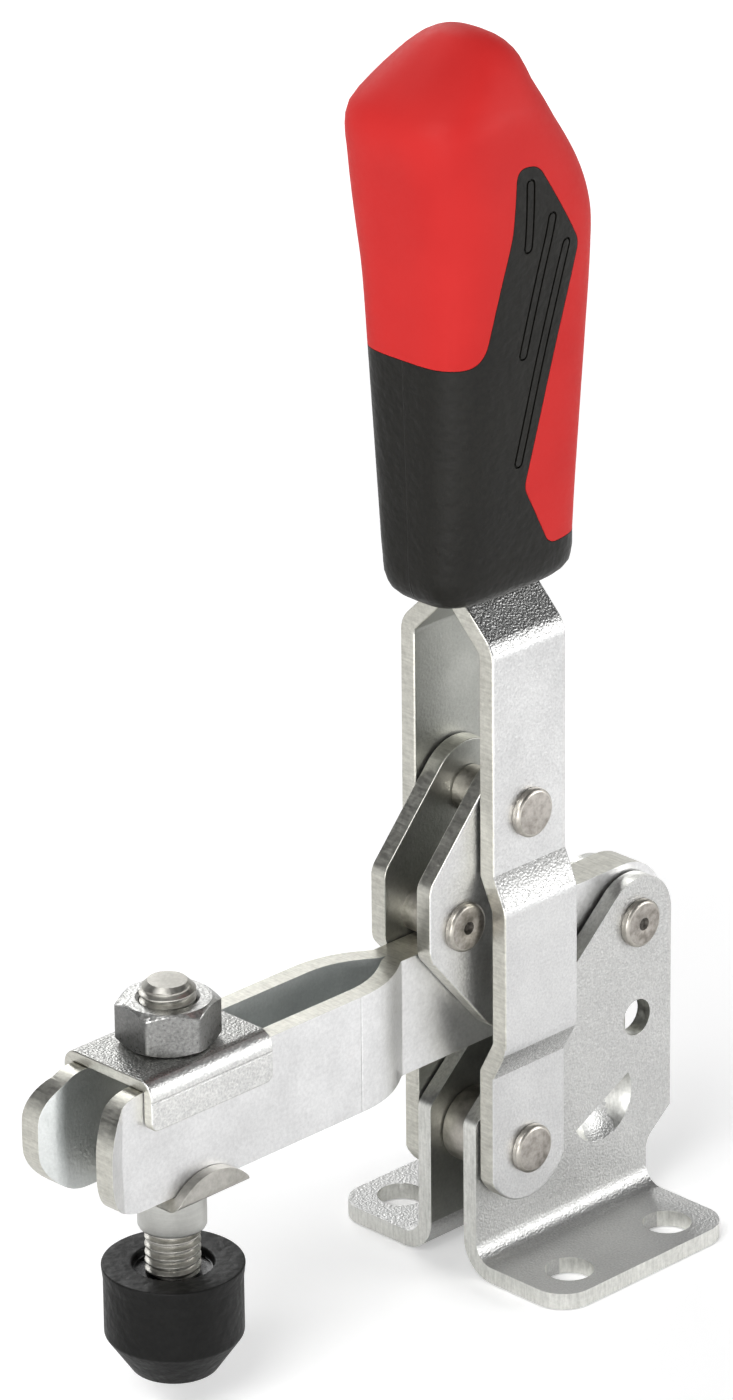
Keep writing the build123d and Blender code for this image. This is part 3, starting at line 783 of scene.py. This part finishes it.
# Material 1 goes on the rims, lighter for wear, and on the top faces, upper chamfer and upper bore chamfer as a
# painted highlight.
spun(
    "lock_nut", SPINDLE, nut_profile, 192, fitting, nut_wear_and_highlight,
    material_of=lambda index: 1 if index in (3, 5, 6, 7, 8) else 0, angle=26.0,
)


# ---------------------------------------------------------------- rubber foot
FOOT_OUTLINE = [
    (0, 4.6),
    (6.1, 4.6, 0.7),
    (9.9, 10.2, 0.9),
    (9.9, 18.6, 2.0),
    (10.17, 20.9, 0.3),
    (5.85, 20.85, 0.35),
    (5.7, 19.65, 0.3),
    (4.0, 19.6),
]
foot = rounded(FOOT_OUTLINE, 0.5, 6) + [(0, 19.6)]
# Material 1 is the foot's top recess, darker as painted shade.
spun(
    "rubber_foot", SPINDLE, foot, 128, foot_rubber, recess_rubber_painted_shade,
    material_of=lambda index: 1 if foot[index][0] < 5.8 and foot[index][1] > 15 else 0,
)


# ---------------------------------------------------------------- grip
# Its sections: height, front, rear, half width and the power of the superellipse.
GRIP_ROWS = (
    (104.6, -9.31, 9.16, 3.67, 2.8),
    (105.0, -11.06, 11.12, 5.49, 3.2),
    (106.0, -13.12, 12.64, 7.03, 3.6),
    (107.8, -14.42, 13.04, 7.87, 3.9),
    (112, -14.93, 12.93, 8.25, 4.1),
    (118, -15.05, 12.88, 8.72, 4.2),
    (130, -15.43, 13.28, 9.54, 4.2),
    (142, -15.86, 13.78, 10.31, 4.2),
    (154, -16.3, 14.05, 11.39, 4.0),
    (160, -16.89, 13.68, 12.03, 3.9),
    (164, -17.48, 12.72, 12.19, 3.8),
    (168, -18.07, 11.05, 12.18, 3.7),
    (172, -18.77, 8.82, 12.01, 3.5),
    (175, -19.18, 6.83, 12.07, 3.3),
    (178, -18.54, 5.06, 11.86, 3.1),
    (181, -15.68, 3.57, 10.39, 2.9),
    (184, -11.83, 2.55, 8.50, 2.7),
    (186.0, -9.10, 1.10, 6.70, 2.5),
    (187.3, -7.20, -0.90, 4.60, 2.3),
    (187.9, -5.90, -2.60, 2.60, 2.2),
    (188.1, -4.90, -3.90, 1.0, 2.0),
)
GRIP_STEPS, GRIP_WALL, LEVEL_GAP = 128, 1.6, 1.1
# The red shell's lower outline over the black core, closed far outside the grip.
BOUNDARY = rounded(
    [
        (-40, 142.6),
        (-9.9, 142.6, 4.2),
        (-6.1, 161.5, 14.0),
        (-5.3, 170.6, 2.4),
        (-1.2, 170.2, 3.4),
        (7.5, 156.8, 3.2),
        (-0.9, 121.8, 3.0),
        (4.9, 111.5, 2.8),
        (40, 111.5),
        (40, 210),
        (-40, 210),
    ],
    3.0,
    8,
)
JOINT_GAP = 0.09
GROOVES = (((-3.0, 158.6), (-2.8, 167.8)), ((-2.4, 142.4), (1.5, 162.0)), ((-2.3, 126.1), (4.7, 157.3)))
GROOVE_WIDTH, GROOVE_LINE, GROOVE_DEPTH = 1.75, 0.32, 0.35
ARC_STEPS, STRAIGHT_STEPS = 8, 14


def cubic(column, height):
    """A column of the grip's sections at a height, by a cubic with the mean slope at each row."""
    rows = GRIP_ROWS
    if height <= rows[0][0]:
        return rows[0][column]
    if height >= rows[-1][0]:
        return rows[-1][column]
    index = max(i for i in range(len(rows) - 1) if rows[i][0] <= height)
    h0, h1 = rows[index][0], rows[index + 1][0]
    v0, v1 = rows[index][column], rows[index + 1][column]

    def slope_between(i):
        return (rows[i + 1][column] - rows[i][column]) / (rows[i + 1][0] - rows[i][0])

    def slope(i):
        if i == 0 or i == len(rows) - 1:
            return slope_between(min(i, len(rows) - 2))
        return (slope_between(i - 1) + slope_between(i)) / 2

    t = (height - h0) / (h1 - h0)
    m0, m1 = slope(index) * (h1 - h0), slope(index + 1) * (h1 - h0)
    return (
        v0 * (2 * t**3 - 3 * t**2 + 1)
        + m0 * (t**3 - 2 * t**2 + t)
        + v1 * (-2 * t**3 + 3 * t**2)
        + m1 * (t**3 - t**2)
    )


def grip_section(height):
    """Front, rear, half width and power at a height."""
    return (cubic(column, height) for column in (1, 2, 3, 4))


def grip_ring(height, inset=0.0):
    front, rear, half, power = grip_section(height)
    middle, reach = (front + rear) / 2 + PIVOT_X, (rear - front) / 2 - inset
    half -= inset
    ring = []
    for step in range(GRIP_STEPS):
        turn = 2 * pi * step / GRIP_STEPS
        c, s = cos(turn), sin(turn)
        scale = (abs(c) ** power + abs(s) ** power) ** (-1 / power)
        ring.append((middle + reach * c * scale, half * s * scale, height))
    return ring


def closed_rings(name, rings):
    """A closed solid through rings of spots, from the lowest to the highest."""
    steps = len(rings[0])
    vertices = [tuple(value * MM for value in spot) for ring in rings for spot in ring]
    faces = []
    for level in range(len(rings) - 1):
        low, high = level * steps, (level + 1) * steps
        for step in range(steps):
            after = (step + 1) % steps
            faces.append((low + step, low + after, high + after, high + step))
    faces.append(tuple(reversed(range(steps))))
    last = (len(rings) - 1) * steps
    faces.append(tuple(range(last, last + steps)))
    return new_piece(name, vertices, faces)


def grip_levels():
    levels = []
    for (low, *_), (high, *_) in zip(GRIP_ROWS, GRIP_ROWS[1:]):
        parts = max(2, int((high - low) / LEVEL_GAP))
        levels += [low + (high - low) * part / parts for part in range(parts)]
    return levels + [GRIP_ROWS[-1][0]]


def prism(name, outline, low=-40, high=40):
    """A solid between two Y values over an (x, z) outline."""
    count = len(outline)
    vertices = [((x + PIVOT_X) * MM, y * MM, z * MM) for y in (low, high) for x, z in outline]
    faces = [(k, (k + 1) % count, count + (k + 1) % count, count + k) for k in range(count)]
    faces += [tuple(range(count)), tuple(reversed(range(count, 2 * count)))]
    piece = new_piece(name, vertices, faces)
    put_right(piece.data)
    return piece


def boolean(piece, cutter, operation):
    cut = piece.modifiers.new("cut", "BOOLEAN")
    cut.operation = operation
    cut.object = cutter
    cut.solver = "EXACT"
    apply_modifiers(piece)


def discard(*pieces):
    for piece in pieces:
        mesh = piece.data
        bpy.data.objects.remove(piece)
        bpy.data.meshes.remove(mesh)


def drawn_in(outline, amount):
    """A closed outline moved inwards by an amount."""
    area = sum(a[0] * b[1] - b[0] * a[1] for a, b in zip(outline, outline[1:] + outline[:1]))
    sign = 1 if area > 0 else -1
    out = []
    for before, here, after in zip(outline[-1:] + outline[:-1], outline, outline[1:] + outline[:1]):
        first = (Vector(here) - Vector(before)).normalized()
        second = (Vector(after) - Vector(here)).normalized()
        normal = Vector((-first.y - second.y, first.x + second.x)) * sign
        normal = normal.normalized() / max(0.4, cos(first.angle(second, 0.0) / 2))
        out.append((here[0] + normal.x * amount, here[1] + normal.y * amount))
    return out


def half_thickness(x, height):
    """Half thickness of the grip at a spot on its side."""
    front, rear, half, power = grip_section(height)
    share = min(abs((x - (front + rear) / 2) / ((rear - front) / 2)), 1)
    return half * (1 - share**power) ** (1 / power)


def racetrack(start, end, radius):
    """Spots around two points, at a radius: a half circle, a straight, and the same again."""
    start, end = Vector(start), Vector(end)
    along = (end - start).normalized()
    across = Vector((-along.y, along.x))
    track = []
    for centre, other, first in ((end, start, -90), (start, end, 90)):
        for step in range(ARC_STEPS + 1):
            turn = radians(first + 180 * step / ARC_STEPS)
            track.append(centre + along * (radius * cos(turn)) + across * (radius * sin(turn)))
        edge = track[-1]
        for step in range(1, STRAIGHT_STEPS):
            track.append(edge + (other - centre) * step / STRAIGHT_STEPS)
    return track


def groove_cutter(start, end, side):
    """A racetrack-shaped ring that follows the grip's side, from the groove's depth to 1 mm above."""
    tracks = [racetrack(start, end, radius) for radius in (GROOVE_WIDTH / 2, GROOVE_WIDTH / 2 - GROOVE_LINE)]
    vertices = []
    for track in tracks:
        for rise in (-GROOVE_DEPTH, 1.0):
            for spot in track:
                level = side * (half_thickness(spot.x, spot.y) + rise)
                vertices.append(((spot.x + PIVOT_X) * MM, level * MM, spot.y * MM))
    count = len(tracks[0])
    outer_low, outer_high, inner_low, inner_high = 0, count, 2 * count, 3 * count
    corners = (outer_low, outer_high, inner_high, inner_low)
    walls = list(zip(corners, corners[1:] + corners[:1]))
    faces = []
    for k in range(count):
        n = (k + 1) % count
        faces += [(a + k, a + n, b + n, b + k) for a, b in walls]
    piece = new_piece("groove", vertices, faces)
    put_right(piece.data)
    return piece


levels = grip_levels()
region = prism("region", BOUNDARY)
red_region = prism("red_region", drawn_in(BOUNDARY, JOINT_GAP))
inner = closed_rings("inner", [grip_ring(level, GRIP_WALL) for level in levels[3:-6]])
shell = closed_rings("grip_shell.dressed", [grip_ring(level) for level in levels])
boolean(shell, red_region, "INTERSECT")
boolean(shell, inner, "DIFFERENCE")
core = closed_rings("grip_core.dressed", [grip_ring(level) for level in levels])
boolean(core, region, "DIFFERENCE")
discard(region, red_region, inner)
for side in (-1, 1):
    for start, end in GROOVES:
        cutter = groove_cutter(start, end, side)
        boolean(core, cutter, "DIFFERENCE")
        discard(cutter)
shell.data.materials.append(red_plastic)
core.data.materials.append(black_plastic)
for piece, node in ((shell, "grip_shell"), (core, "grip_core")):
    finish_mesh(piece, 40)
    stand_for(piece, node)
